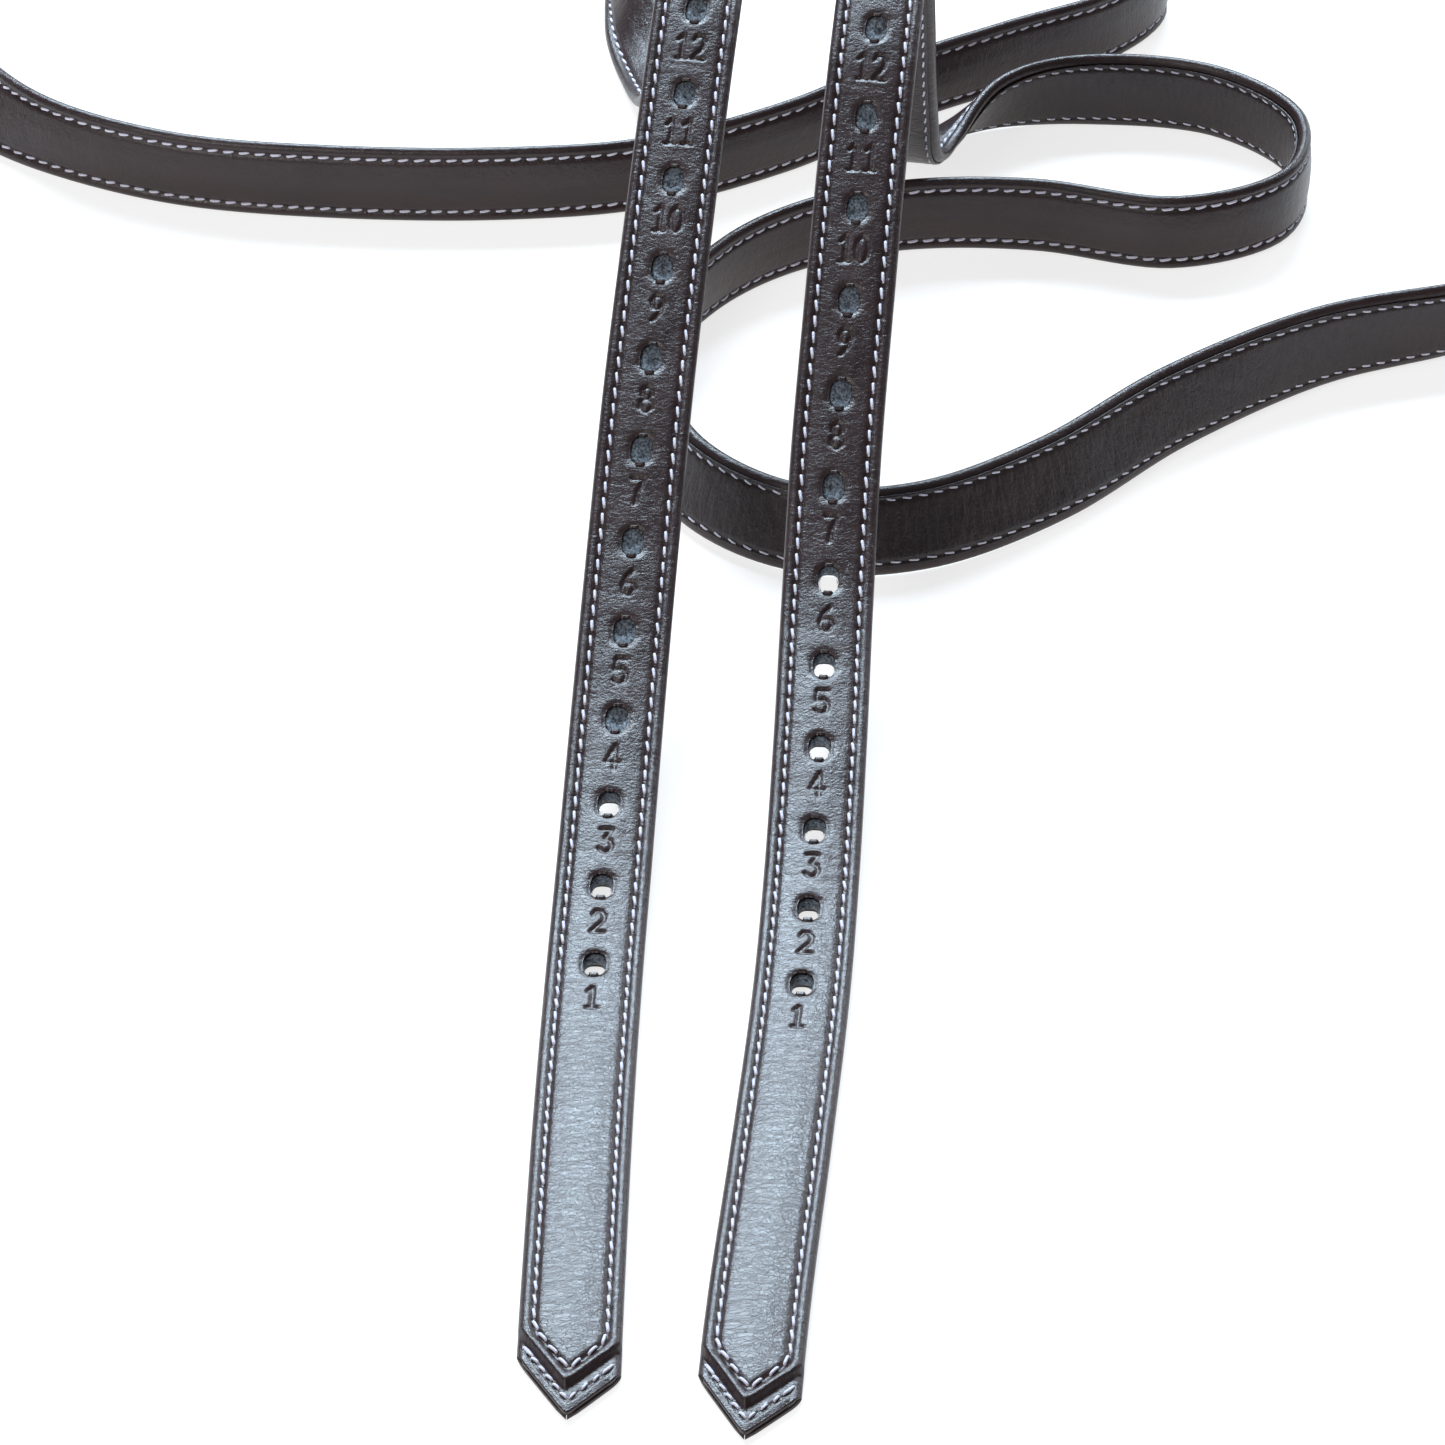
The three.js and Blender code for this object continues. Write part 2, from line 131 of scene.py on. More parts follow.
# The two routes: x, y, lift off the surface, and roll in degrees
HEAP_CENTRE = (0.0125, 0.35875)
LEFT_ROUTE = [
    (-0.0322, 0.001, 0, 0), (-0.0315, 0.045, 0, 0), (-0.0305, 0.095, 0, 0),
    (-0.029, 0.142, 0.0008, 0), (-0.027, 0.182, 0.006, 0), (-0.0245, 0.225, 0.017, 0),
    (-0.0215, 0.266, 0.033, 0), (-0.018, 0.305, 0.053, 0), (-0.0135, 0.345, 0.074, 0),
    (-0.009, 0.383, 0.093, 0), (-0.0055, 0.412, 0.106, 0), (-0.004, 0.438, 0.109, 0),
    (-0.004, 0.463, 0.092, 0), (-0.006, 0.483, 0.063, 0), (-0.009, 0.502, 0.032, 0),
    (-0.013, 0.524, 0.008, 0), (-0.018, 0.55, 0, 12), (-0.025, 0.58, 0, 45),
    (-0.026, 0.612, 0, 75), (-0.008, 0.64, 0, 90), (0.03, 0.652, 0, 90), (0.075, 0.645, 0, 90),
    (0.11, 0.623, 0, 90), (0.125, 0.592, 0, 90), (0.11, 0.566, 0, 90), (0.08, 0.548, 0, 90),
    (0.048, 0.528, 0, 90), (0.017, 0.503, 0, 90), (-0.02, 0.484, 0, 90), (-0.06, 0.478, 0, 88),
    (-0.105, 0.479, 0, 88), (-0.148, 0.486, 0, 88), (-0.185, 0.504, 0, 80), (-0.21, 0.532, 0, 48),
    (-0.221, 0.566, 0.0006, 14), (-0.223, 0.6, 0.002, 0), (-0.223, 0.63, 0.002, 0),
    (-0.223, 0.658, 0.002, 0), (-0.223, 0.687, 0.002, 0),
]
RIGHT_ROUTE = [
    (0.0045, -0.005, 0, 0), (0.008, 0.038, 0, 0), (0.0128, 0.086, 0, 0),
    (0.0175, 0.136, 0.0004, 0), (0.0205, 0.178, 0.004, 0), (0.023, 0.22, 0.013, 0),
    (0.025, 0.258, 0.024, 0), (0.0275, 0.295, 0.043, 0), (0.031, 0.33, 0.064, 0),
    (0.0345, 0.363, 0.084, 0), (0.038, 0.392, 0.101, 0), (0.041, 0.418, 0.109, 0),
    (0.043, 0.44, 0.098, 0), (0.0445, 0.456, 0.071, 0), (0.046, 0.47, 0.041, 0),
    (0.049, 0.486, 0.014, 0), (0.057, 0.504, 0.002, 25), (0.076, 0.521, 0, 68),
    (0.102, 0.528, 0, 90), (0.135, 0.522, 0, 90), (0.156, 0.498, 0, 90), (0.15, 0.467, 0, 90),
    (0.12, 0.453, 0, 90), (0.084, 0.462, 0, 90), (0.05, 0.462, 0, 92), (0.022, 0.452, 0, 94),
    (0, 0.433, 0, 95), (-0.015, 0.404, 0, 98), (-0.019, 0.369, 0, 104), (-0.008, 0.334, 0, 112),
    (0.018, 0.313, 0, 116), (0.05, 0.314, 0, 117), (0.083, 0.335, 0, 117), (0.116, 0.368, 0, 112),
    (0.155, 0.396, 0, 100), (0.197, 0.412, 0, 85), (0.23, 0.435, 0, 55),
    (0.245, 0.467, 0.0008, 15), (0.248, 0.494, 0.002, 0), (0.248, 0.518, 0.002, 0),
    (0.248, 0.542, 0.002, 0), (0.248, 0.566, 0.002, 0),
]
SPAN_STEPS = 12

# Strokes of each digit in a box one wide and one high, as runs of (x, y)
STROKES = {
    "0": [[(.5, 1), (.12, .85), (0, .5), (.12, .15), (.5, 0), (.88, .15), (1, .5), (.88, .85), (.5, 1)]],
    "1": [[(.15, .78), (.55, 1), (.55, 0)], [(.15, 0), (.95, 0)]],
    "2": [[(.05, .78), (.25, .97), (.7, .97), (.95, .75), (.85, .5), (0, 0), (1, 0)]],
    "3": [[(.05, 1), (.95, 1), (.45, .6), (.9, .5), (1, .25), (.8, .04), (.4, 0), (0, .15)]],
    "4": [[(.65, 0), (.65, 1), (0, .3), (1, .3)]],
    "5": [[(.95, 1), (.12, 1), (.05, .55), (.6, .62), (.97, .4), (.85, .08), (.4, 0), (0, .12)]],
    "6": [[(.8, 1), (.25, .7), (0, .3), (.2, .03), (.7, 0), (1, .25), (.8, .5), (.3, .5), (.03, .3)]],
    "7": [[(0, 1), (1, 1), (.55, .5), (.4, 0)]],
    "8": [
        [(.5, 1), (.1, .88), (.1, .64), (.5, .53), (.9, .64), (.9, .88), (.5, 1)],
        [(.5, .53), (.03, .38), (.03, .13), (.5, 0), (.97, .13), (.97, .38), (.5, .53)],
    ],
    "9": [[(.2, 0), (.75, .3), (1, .7), (.8, .97), (.3, 1), (0, .75), (.2, .5), (.7, .5), (.97, .7)]],
}


def ease(value, low, high):
    """0 below low, 1 above high, and smooth between."""
    t = np.clip((value - low) / (high - low), 0, 1)
    return t * t * (3 - 2 * t)


def lobe(value, width):
    """A smooth bump of height 1 at 0."""
    return np.exp(-((value / width) ** 2))


def unit(vectors):
    return vectors / np.linalg.norm(vectors, axis=-1, keepdims=True)


# The straps' routes


def lay_out(route):
    """The strap's place and own three directions, at close steps of distance from its tip."""
    rows = np.array(route, float)
    rows[:, :2] -= HEAP_CENTRE
    roll = np.radians(rows[:, 3])
    rows[:, 2] += HALF_WIDTH * abs(np.sin(roll)) + HALF_THICKNESS * abs(np.cos(roll)) + FLOOR_GAP
    rows = np.vstack([2 * rows[0] - rows[1], rows, 2 * rows[-1] - rows[-2]])
    t = np.linspace(0, 1, SPAN_STEPS, endpoint=False)[:, None]
    spans = [
        0.5 * (2 * b + (c - a) * t + (2 * a - 5 * b + 4 * c - d) * t**2 + (3 * b - 3 * c + d - a) * t**3)
        for a, b, c, d in zip(rows, rows[1:], rows[2:], rows[3:])
    ]
    values = np.vstack([*spans, rows[-2:-1]])
    place = values[:, :3]
    distance = np.concatenate([[0], np.cumsum(np.linalg.norm(np.diff(place, axis=0), axis=1))])
    along = unit(np.gradient(place, distance, axis=0))
    level = unit(np.array([0, 0, 1]) - along * along[:, 2:])
    roll = -np.radians(values[:, 3:])
    out = level * np.cos(roll) + np.cross(along, level) * np.sin(roll)
    return {
        "distance": distance,
        "place": place,
        "along": along,
        "out": out,
        "side": np.cross(along, out),
        "end": distance[-1] - BAR_BEYOND_STRAP,
    }


def read(strap, key, distance):
    """One of the strap's values at any distances from its tip."""
    table = strap[key]
    flat = np.ravel(distance)
    found = np.stack([np.interp(flat, strap["distance"], column) for column in table.T], axis=-1)
    return found.reshape(*np.shape(distance), table.shape[1])


def onto(strap, across, distance, height):
    """Points drawn flat, laid along the strap's route. A point before the tip goes straight on."""
    before = np.minimum(distance, 0)[..., None] * strap["along"][0]
    place = read(strap, "place", distance) + before
    side = unit(read(strap, "side", distance))
    out = unit(read(strap, "out", distance))
    return place + side * across[..., None] + out * height[..., None]


# The strap's relief, drawn flat


def steepness(across):
    return np.where(across < 0, LEFT_SHOULDER, RIGHT_SHOULDER) / HALF_WIDTH


def behind_apex(across):
    """How far the pointed outline lies behind its slightly blunted apex."""
    return steepness(across) * (np.hypot(across, BLUNTING) - BLUNTING)


def past_point(across, distance, start):
    """Distance outward from the V that starts here on the middle line, measured square to its sides."""
    return (start + behind_apex(across) - distance) / np.sqrt(1 + steepness(across) ** 2)


def soft_max(a, b, blend):
    """The larger of two values, rounded over where they meet."""
    share = np.clip(0.5 + (a - b) / (2 * blend), 0, 1)
    return b + (a - b) * share + blend * share * (1 - share)


def past_seam(across, distance):
    """Distance outward from the edge seam, negative on the panel that it frames."""
    sides = soft_max(across, -across, 0.6 * MM)
    return soft_max(sides - ROW, past_point(across, distance, INNER_POINT), 1.8 * MM)


def hem_share(across, distance):
    """0 on the padded strap and 1 on the thin hem round its point."""
    return ease(past_point(across, distance, INNER_POINT), 1.9 * MM, 3.2 * MM)


def hole_centres():
    return FIRST_HOLE + HOLE_PITCH * np.arange(HOLE_COUNT)


def needle_holes(across, distance):
    """Dimples where the thread goes down, along both edge rows."""
    along = (distance / STITCH_PITCH + 0.5) % 1 - 0.5
    return lobe(np.abs(across) - ROW, 0.8 * MM) * lobe(along * STITCH_PITCH, 0.75 * MM)


def number_depth(across, distance):
    """How far the stamped numbers press in, from 0 to 1."""
    depth = np.zeros(np.shape(across))
    width, height = DIGIT_SIZE
    for i, hole in enumerate(hole_centres()):
        text = str(i + 1)
        spread = width * len(text) + DIGIT_GAP * (len(text) - 1)
        for k, digit in enumerate(text):
            left = k * (width + DIGIT_GAP) - spread / 2
            x = (across - left) / width
            y = (distance - hole + NUMBER_BEFORE_HOLE) / height + 0.5
            near = (x > -0.5) & (x < 1.5) & (y > -0.3) & (y < 1.3)
            point = np.stack([x[near] * width, y[near] * height], axis=-1)
            gap = np.full(len(point), 1.0)
            for run in STROKES[digit]:
                corners = np.array(run) * DIGIT_SIZE
                for a, b in zip(corners, corners[1:]):
                    share = np.clip((point - a) @ (b - a) / ((b - a) @ (b - a)), 0, 1)
                    gap = np.minimum(gap, np.linalg.norm(point - a - share[:, None] * (b - a), axis=1))
            depth[near] = np.maximum(depth[near], 1 - ease(gap, 0.2 * MM, 0.75 * MM))
    return depth


def hole_dish(across, distance):
    """The soft dished edge round each hole, from 0 to 1."""
    dish = np.zeros(np.shape(across))
    half_across, half_along = HOLE_HALF
    for hole in hole_centres():
        spare = np.maximum(np.abs(distance - hole) - (half_along - half_across), 0)
        gap = np.hypot(across, spare) - half_across
        dish = np.maximum(dish, lobe(np.maximum(gap, 0), 0.8 * MM))
    return dish


def face_height(across, distance):
    """The cover's face: a padded panel, a sunk seam, a rolled rim, and a thin hem round the point."""
    seam = past_seam(across, distance)
    crown = 0.42 * MM * ease(-seam, 0.2 * MM, 6.5 * MM)
    groove = 0.7 * MM * lobe(seam, 0.8 * MM)
    padded = RIM_TOP - 0.02 * MM + crown - groove
    padded -= 0.22 * MM * needle_holes(across, distance)
    padded -= DIGIT_DEPTH * number_depth(across, distance)
    padded -= 0.5 * MM * hole_dish(across, distance)
    hem = hem_share(across, distance)
    hem_seam = lobe(past_point(across, distance, OUTER_POINT), 0.5 * MM)
    worn = 0.3 * MM * lobe(past_point(across, distance, 0), 0.9 * MM)
    return padded * (1 - hem) + (HEM_FACE - 0.25 * MM * hem_seam - worn) * hem


def lining_height(across, distance):
    """The lining's face on the back: flat, with its own finer sunk seam."""
    seam = past_seam(across, distance)
    return -HALF_THICKNESS + 0.05 * MM + 0.4 * MM * lobe(seam, 0.5 * MM)


# Grids and meshes


def rows_along(strap):
    """Distances from the point's outline for the rows of a grid, closest round the point and holes."""
    holes = hole_centres()
    numbers = holes - NUMBER_BEFORE_HOLE
    hole_rows = np.concatenate([h + HOLE_CELL[1] * np.arange(-HOLE_CELLS, HOLE_CELLS + 1) for h in holes])
    number_rows = np.concatenate([n + np.linspace(-5.2, 5.2, 27) * MM for n in numbers])
    number_rows = number_rows[np.abs(number_rows[:, None] - hole_rows).min(axis=1) > 0.2 * MM]
    coarse = [
        np.arange(0, 27, 0.45) * MM,
        np.arange(27.6, 127, 0.86) * MM,
        np.arange(holes[0] + 8 * MM, holes[-1], HOLE_PITCH),
        np.arange(holes[-1] + 6.5 * MM, holes[-1] + 30 * MM, 1.2 * MM),
        np.arange(holes[-1] + 31 * MM, strap["end"] - 1 * MM, 3.2 * MM),
    ]
    return np.unique(np.concatenate([hole_rows, number_rows, *coarse, [strap["end"]]]).round(7))


def shear(across, rows):
    """The rows bent to follow the pointed outline near the tip, straight further back."""
    return rows + behind_apex(across) * (1 - ease(rows, 18 * MM, 90 * MM))


def open_holes(across, distance, middle, scale):
    """Bends the grid round each hole, and tells which of its cells the holes take away."""
    half = np.array(HOLE_HALF) * scale
    keep = np.ones((across.shape[0] - 1, across.shape[1] - 1), bool)
    steps = np.arange(-HOLE_CELLS, HOLE_CELLS + 1)
    i, j = np.meshgrid(steps, steps)
    ring = np.maximum(abs(i), abs(j))
    turn = np.arctan2(j, i)
    reach = half * np.stack([np.cos(turn), np.sin(turn)], axis=-1)
    norm = (abs(np.cos(turn)) ** 2.6 + abs(np.sin(turn)) ** 2.6) ** (1 / 2.6)
    oval = reach / norm[..., None]
    share = np.clip((ring - CUT_CELLS) / (HOLE_CELLS - CUT_CELLS), 0, 1)
    columns = slice(middle - HOLE_CELLS, middle + HOLE_CELLS + 1)
    for hole in hole_centres():
        row = np.abs(distance[:, middle] - hole).argmin()
        patch = (slice(row - HOLE_CELLS, row + HOLE_CELLS + 1), columns)
        across[patch] = share * across[patch] + (1 - share) * oval[..., 0]
        distance[patch] = share * distance[patch] + (1 - share) * (hole + oval[..., 1])
        keep[row - CUT_CELLS : row + CUT_CELLS, middle - CUT_CELLS : middle + CUT_CELLS] = False
    return keep


def quads(rows, columns, keep=None, flip=False):
    """Faces of a grid of points, leaving out the cells that aren't kept."""
    i, j = np.meshgrid(np.arange(rows - 1), np.arange(columns - 1), indexing="ij")
    a = i * columns + j
    faces = np.stack([a, a + 1, a + columns + 1, a + columns], axis=-1)
    if flip:
        faces = faces[..., ::-1]
    return faces[keep] if keep is not None else faces.reshape(-1, 4)


def make_object(name, points, faces, material, body, uv=None):
    """A smooth mesh object that rides a body. uv holds the place on the strap of each point."""
    points = np.asarray(points, float).reshape(-1, 3)
    used = np.unique(np.concatenate([np.ravel(f) for f in faces]))
    renumber = np.full(len(points), -1)
    renumber[used] = np.arange(len(used))
    mesh = bpy.data.meshes.new(name)
    mesh.from_pydata(points[used].tolist(), [], [renumber[list(f)].tolist() for f in faces])
    mesh.shade_smooth()
    if uv is not None:
        layer = mesh.uv_layers.new(name="strap")
        corner = np.empty(len(mesh.loops), np.int32)
        mesh.loops.foreach_get("vertex_index", corner)
        layer.data.foreach_set("uv", np.asarray(uv, np.float32).reshape(-1, 2)[used][corner].ravel())
    mesh.materials.append(material)
    obj = bpy.data.objects.new(name, mesh)
    bpy.context.scene.collection.objects.link(obj)
    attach(obj, body)
    return obj


def slab(top, bottom, keep):
    """A closed body between two grids of points of the same shape, walled along every open edge."""
    rows, columns = top.shape[:2]
    count = rows * columns
    upper = quads(rows, columns, keep)
    lower = upper[:, ::-1] + count
    edges = np.concatenate([upper[:, [k, (k + 1) % 4]] for k in range(4)])
    paired = set(map(tuple, edges.tolist()))
    walls = [(b, a, a + count, b + count) for a, b in edges.tolist() if (b, a) not in paired]
    points = np.concatenate([top.reshape(-1, 3), bottom.reshape(-1, 3)])
    return points, [*upper.tolist(), *lower.tolist(), *walls]


def loft(rings, closed=False):
    """A closed body through rings of points, capped at its ends or closed on itself."""
    count, sides = rings.shape[:2]
    i, k = np.meshgrid(np.arange(count if closed else count - 1), np.arange(sides), indexing="ij")
    a, b = i * sides + k, i * sides + (k + 1) % sides
    ahead = (i + 1) % count * sides
    c, d = ahead + (k + 1) % sides, ahead + k
    faces = np.stack([a, b, c, d], axis=-1).reshape(-1, 4).tolist()
    if not closed:
        last = (count - 1) * sides
        faces += [list(range(sides))[::-1], list(range(last, last + sides))]
    return rings.reshape(-1, 3), faces


def join(bodies):
    """Several bodies of (points, faces) as one."""
    points, faces, start = [], [], 0
    for body_points, body_faces in bodies:
        points.append(body_points)
        faces += [[start + k for k in face] for face in body_faces]
        start += len(body_points)
    return np.concatenate(points), faces


# Leather pieces


def mirrored(values):
    """The same columns on the other side of the middle line, in the order from left to right."""
    return [-v for v in reversed(values)]


def hole_columns(outer):
    """A layer's columns on both sides: evenly close over the holes, and then the outer ones given."""
    inner = HOLE_CELL[0] * np.arange(1, HOLE_CELLS + 1)
    right = [*inner, *outer]
    return np.array([*mirrored(right), 0, *right])


def face_columns():
    """The cover face's columns, closest over the holes, the numbers and the seams."""
    panel = np.linspace(HOLE_CELL[0] * HOLE_CELLS, 6.5 * MM, 4)[1:]
    seam = np.linspace(6.5 * MM, RIM_START, 7)[1:]
    return hole_columns([*panel, *seam])


def rim(rows, sign):
    """One rolled edge and the flange turned in below it, from the face round to under the lining."""
    flange = [0.2, 0.45, 0.75, 1]
    turns = np.radians(np.linspace(90, -90, RIM_STEPS + 1))[1:]
    across = sign * np.concatenate([RIM_START + RIM_REACH * np.cos(turns), np.zeros(len(flange))])
    reach = np.tile(across, (len(rows), 1))
    # The two flanges nearly meet near the tip and stand apart further back
    fold_end = CLOSED_FLANGE + (FLANGE_EDGE - CLOSED_FLANGE) * ease(rows, 18 * MM, 40 * MM)
    for k, share in enumerate(flange):
        reach[:, RIM_STEPS + k] = sign * (RIM_START + (fold_end - RIM_START) * share)
    distance = shear(reach, rows[:, None])
    hem = hem_share(reach, distance)
    rise = np.concatenate([np.sin(turns), -np.ones(len(flange))])
    padded = (RIM_TOP + FLANGE_LEVEL) / 2 + (RIM_TOP - FLANGE_LEVEL) / 2 * rise
    hemmed = (HEM_FACE + HEM_BACK) / 2 + (HEM_FACE - HEM_BACK) / 2 * rise
    return reach, distance, padded * (1 - hem) + hemmed * hem


def build_cover(strap, name, material):
    """The calf cover: one sheet over the face, rolled round both edges and turned in on the back."""
    rows = rows_along(strap)
    columns = face_columns()
    across = np.tile(columns, (len(rows), 1))
    distance = shear(across, rows[:, None])
    keep = open_holes(across, distance, len(columns) // 2, 1)
    left, right = rim(rows, -1), rim(rows, 1)
    face = (across, distance, face_height(across, distance))
    whole = [np.hstack([a[:, ::-1], b, c]) for a, b, c in zip(left, face, right)]
    extra = left[0].shape[1]
    kept = np.ones((len(rows) - 1, whole[0].shape[1] - 1), bool)
    kept[:, extra : extra + len(columns) - 1] = keep
    whole[2] = whole[2] + wrinkles(whole[0], whole[1])
    points = onto(strap, *whole)
    steps = np.hypot(np.diff(whole[0], axis=1), np.diff(whole[2], axis=1))
    around = np.hstack([np.zeros((len(rows), 1)), np.cumsum(steps, axis=1)])
    uv = np.stack([around, whole[1]], axis=-1)
    faces = quads(len(rows), whole[0].shape[1], kept).tolist()
    cover = make_object(f"{name}_cover", points, faces, material, f"{name}_leather", uv)
    sheet = cover.modifiers.new("leather", "SOLIDIFY")
    sheet.thickness = COVER_THICKNESS
    sheet.offset = -1
    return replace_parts(cover, f"{name}_front_cover")


def wrinkles(across, distance):
    """Small unevenness of the padded leather, in height."""
    wave = np.sin(distance * 61 + 3 * np.sin(distance * 17)) * np.sin(across * 260 + distance * 23)
    return 0.035 * MM * wave * (1 - hem_share(across, distance))


def flat_layer(strap, columns, first_row, hole_scale):
    """The grid of a flat layer that ends in a V inside the seam, with the holes through it."""
    rows = rows_along(strap)
    rows = rows[rows >= first_row]
    across = np.tile(columns, (len(rows), 1))
    distance = shear(across, rows[:, None])
    keep = open_holes(across, distance, len(columns) // 2, hole_scale)
    return across, distance, keep


def build_lining(strap, name, material):
    """The calf strip that closes the back, with its cut edges just outside the seam."""
    inside_seam = np.array([5.2, 6.4, 7.1, 7.5, 7.8, 8.1]) * MM
    columns = hole_columns([*inside_seam, LINING_ROUNDING_START, 8.7 * MM, LINING_HALF_WIDTH])
    across, distance, keep = flat_layer(strap, columns, INNER_POINT - 2.2 * MM, 1)
    rounding = 0.18 * MM * ease(np.abs(across), LINING_ROUNDING_START, LINING_HALF_WIDTH)
    lower = onto(strap, across, distance, lining_height(across, distance) + rounding)
    upper = onto(strap, across, distance, np.full(across.shape, LINING_TOP))
    points, faces = slab(upper, lower, keep)
    flat = np.stack([across, distance], axis=-1).reshape(-1, 2)
    uv = np.concatenate([flat, flat])
    lining = make_object(f"{name}_lining", points, faces, material, f"{name}_leather", uv)
    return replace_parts(lining, f"{name}_back_lining")


def build_core(strap, name, clear_holes, material, rng):
    """The woven core, with loose fibres standing into each hole."""
    columns = hole_columns([6.3 * MM, CORE_HALF_WIDTH])
    across, distance, keep = flat_layer(strap, columns, INNER_POINT + 2.6 * MM, 0.93)
    # Deeper in the middle, where the flanges of the cover leave it room
    middle = 1 - ease(np.abs(across), FLANGE_EDGE - 0.7 * MM, FLANGE_EDGE - 0.2 * MM)
    bottom = CORE_BOTTOM + (LINING_TOP + 0.1 * MM - CORE_BOTTOM) * middle * ease(distance, 45 * MM, 50 * MM)
    weave = 0.03 * MM * np.sin(distance * 5200) * np.sin(across * 5200)
    upper = onto(strap, across, distance, CORE_TOP + weave)
    lower = onto(strap, across, distance, bottom)
    bodies = [slab(upper, lower, keep)]
    for i, hole in enumerate(hole_centres()):
        bodies += [fibre(strap, hole, 0.8, rng) for _ in range(EDGE_FIBRES)]
        if i >= clear_holes:
            bodies.append(felt(strap, hole, rng))
            bodies += [fibre(strap, hole, 2.4, rng) for _ in range(FELT_FIBRES)]
    points, faces = join(bodies)
    core = make_object(f"{name}_core", points, faces, material, f"{name}_leather")
    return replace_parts(core, f"{name}_webbing_core")


def felt(strap, hole, rng):
    """The lumpy mat of torn fibres that still closes a hole which isn't worn through."""
    steps = np.arange(-FELT_CELLS, FELT_CELLS + 1)
    i, j = np.meshgrid(steps, steps)
    share = np.maximum(abs(i), abs(j)) / FELT_CELLS
    turn = np.arctan2(j, i)
    across = HOLE_HALF[0] * share * np.cos(turn)
    distance = hole + HOLE_HALF[1] * share * np.sin(turn)
    pit = rng.uniform(-0.9, 0.9, 2) * MM
    sunk = 1.1 * MM * lobe(np.hypot(across - pit[0], distance - hole - pit[1]), 1.1 * MM)
    lumps = rng.uniform(-0.3, 0.3, share.shape) * MM
    top = onto(strap, across, distance, 1.0 * MM - sunk + lumps)
    bottom = onto(strap, across, distance, np.full(share.shape, -0.9 * MM))
    return slab(top, bottom, np.ones((2 * FELT_CELLS, 2 * FELT_CELLS), bool))


def fibre(strap, hole, reach, rng):
    """One loose fibre curling into a hole from its wall, this far at the most in millimetres."""
    turn = rng.uniform(0, 2 * math.pi)
    swing = rng.uniform(-0.9, 0.9)
    length = rng.uniform(0.4, 1) * reach * MM
    height = rng.uniform(-1.1, 1.1) * MM
    lean = rng.uniform(-0.6, 0.5) * MM
    t = np.linspace(0, 1, 5)
    angle = turn + swing * t
    inward = 1.02 - t * length / HOLE_HALF[0]
    across = HOLE_HALF[0] * inward * np.cos(angle)
    distance = hole + HOLE_HALF[1] * inward * np.sin(angle)
    line = onto(strap, across, distance, height + lean * t**2)
    return loft(tube_rings(line, FIBRE_RADIUS * (1 - 0.6 * t), 4))


def tube_rings(line, radii, sides):
    """Rings of a round tube along a line of points."""
    along = unit(np.gradient(line, axis=0))
    guide = np.where(abs(along[:, 2:]) < 0.9, [0, 0, 1], [1, 0, 0])
    first = unit(np.cross(along, guide))
    second = np.cross(along, first)
    turn = 2 * math.pi * np.arange(sides) / sides
    ring = first[:, None] * np.cos(turn)[:, None] + second[:, None] * np.sin(turn)[:, None]
    return line[:, None] + ring * np.reshape(radii, (-1, 1, 1))


# Stitches


def edge_path(strap):
    """Corners of the edge seam: up one side, round the point and back."""
    end = strap["end"] - CHAPE_LENGTH - 2 * MM
    left = INNER_POINT + ROW * LEFT_SHOULDER / HALF_WIDTH
    right = INNER_POINT + ROW * RIGHT_SHOULDER / HALF_WIDTH
    corners = np.array([[-ROW, end], [-ROW, left], [0, INNER_POINT], [ROW, right], [ROW, end]])
    turn = CORNER_CUT * unit(np.diff(corners, axis=0))
    trimmed = [corners[1] - turn[0], corners[1] + turn[1], corners[2], corners[3] - turn[2],
               corners[3] + turn[3]]
    return np.array([corners[0], *trimmed, corners[4]])


def tip_path():
    """Corners of the second row, round the hem of the point."""
    left = OUTER_POINT + OUTER_ROW * LEFT_SHOULDER / HALF_WIDTH
    right = OUTER_POINT + OUTER_ROW * RIGHT_SHOULDER / HALF_WIDTH
    return np.array([[-OUTER_ROW, left], [0, OUTER_POINT], [OUTER_ROW, right]])


def stitch_spots(path, pitch):
    """The middle and direction of each stitch, evenly spaced on every side of a path."""
    spots = []
    for a, b in zip(path, path[1:]):
        length = np.linalg.norm(b - a)
        count = max(round(length / pitch), 1)
        for k in range(count):
            spots.append((a + (b - a) * (k + 0.5) / count, (b - a) / length))
    return spots


def back_stitched(spots):
    """The same stitches, with two more sewn over each end of the row."""
    extra = []
    for middle, direction in (spots[0], spots[-1]):
        extra += [(middle + direction * shift, direction) for shift in (-0.7 * MM, 0.8 * MM)]
    return spots + extra


def stitch(strap, middle, direction, face, facing, rng, length, radius):
    """One stitch: a plump twisted thread, slanted across its row and sunk at both ends."""
    slant = math.radians(9 + rng.uniform(-4, 4))
    x, y = direction
    run = np.array([x * math.cos(slant) - y * math.sin(slant), x * math.sin(slant) + y * math.cos(slant)])
    t = np.linspace(-1, 1, STITCH_RINGS)
    spots = middle + run * (t * length / 2)[:, None]
    base = face(*np.full((STITCH_RINGS, 2), middle).T)
    height = base + facing * (radius * 0.75 * (1 - t**4) - 0.55 * MM * t**6)
    line = onto(strap, spots[:, 0], spots[:, 1], height)
    radii = radius * (1 - 0.35 * t**6) * rng.uniform(0.93, 1.05)
    return loft(tube_rings(line, radii, THREAD_SIDES))


def stitch_uv(count):
    """For every point of each stitch: its place round the thread and along it."""
    along, around = np.meshgrid(np.arange(STITCH_RINGS), np.arange(THREAD_SIDES), indexing="ij")
    one = np.stack([around / THREAD_SIDES, along / STITCH_RINGS], axis=-1).reshape(-1, 2)
    return np.tile(one, (count, 1))


